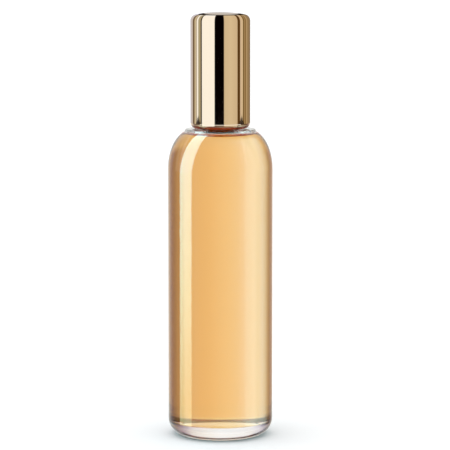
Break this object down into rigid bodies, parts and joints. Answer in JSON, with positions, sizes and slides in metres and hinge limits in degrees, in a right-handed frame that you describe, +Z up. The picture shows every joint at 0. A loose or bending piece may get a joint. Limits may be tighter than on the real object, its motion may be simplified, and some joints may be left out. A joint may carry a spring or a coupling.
{
  "type": "perfume bottle",
  "caption": "Round clear-glass perfume bottle with rounded shoulders, amber fill, crimped spray pump and tall gold overcap.",
  "frame": {"origin": "centre of the ring that the bottle stands on", "axes": "+Z up along the bottle's axis; the spray nozzle faces -Y"},
  "size_m": [0.0384, 0.0384, 0.1562],
  "materials": {
    "glass": "clear polished flint glass",
    "perfume": "clear amber liquid",
    "gold": "polished, gold anodised",
    "tin": "bright rolled aluminium",
    "steel": "bright drawn stainless wire",
    "white_plastic": "white moulded",
    "natural_plastic": "natural translucent moulded",
    "rubber": "moulded elastomer",
    "clear_plastic": "clear extruded tube"
  },
  "bodies": {
    "flacon": {"glass_bottle": "glass", "perfume_fill": "perfume", "neck_gasket": "rubber", "pump_housing": "natural_plastic", "dip_tube": "clear_plastic", "main_spring": "steel", "pump_turret": "white_plastic", "stem_seal": "rubber", "crimp_ferrule": "tin", "collar_liner": "white_plastic", "collar_shell": "gold"},
    "stem": {"pump_stem": "white_plastic", "valve_pin": "white_plastic"},
    "piston": {"pump_piston": "natural_plastic", "valve_spring": "steel"},
    "inlet_valve": {"inlet_ball": "steel"},
    "spray_head": {"actuator_body": "white_plastic", "actuator_shell": "gold", "spray_insert": "white_plastic"},
    "overcap": {"cap_shell": "gold", "cap_liner": "white_plastic"}
  },
  "joints": [
    {"name": "cap_lift", "type": "slide", "parent": "flacon", "child": "overcap", "axis": [0, 0, 1], "range_m": [0, 0.045]},
    {"name": "spray_press", "type": "slide", "parent": "flacon", "child": "stem", "axis": [0, 0, -1], "range_m": [0, 0.0034], "stiffness_N_per_m": 500, "springref_m": -0.012, "deforming": ["main_spring"]},
    {"name": "piston_follow", "type": "slide", "parent": "flacon", "child": "piston", "axis": [0, 0, -1], "range_m": [0, 0.0032], "deforming": ["valve_spring"]},
    {"name": "inlet_lift", "type": "slide", "parent": "flacon", "child": "inlet_valve", "axis": [0, 0, 1], "range_m": [0, 0.0005]},
    {"name": "nozzle_turn", "type": "hinge", "parent": "stem", "child": "spray_head", "pos_m": [0, 0, 0.1383], "axis": [0, 0, 1], "continuous": true}
  ],
  "couplings": [
    {"joint": "piston_follow", "follows": "spray_press", "ratio": 0.9}
  ]
}
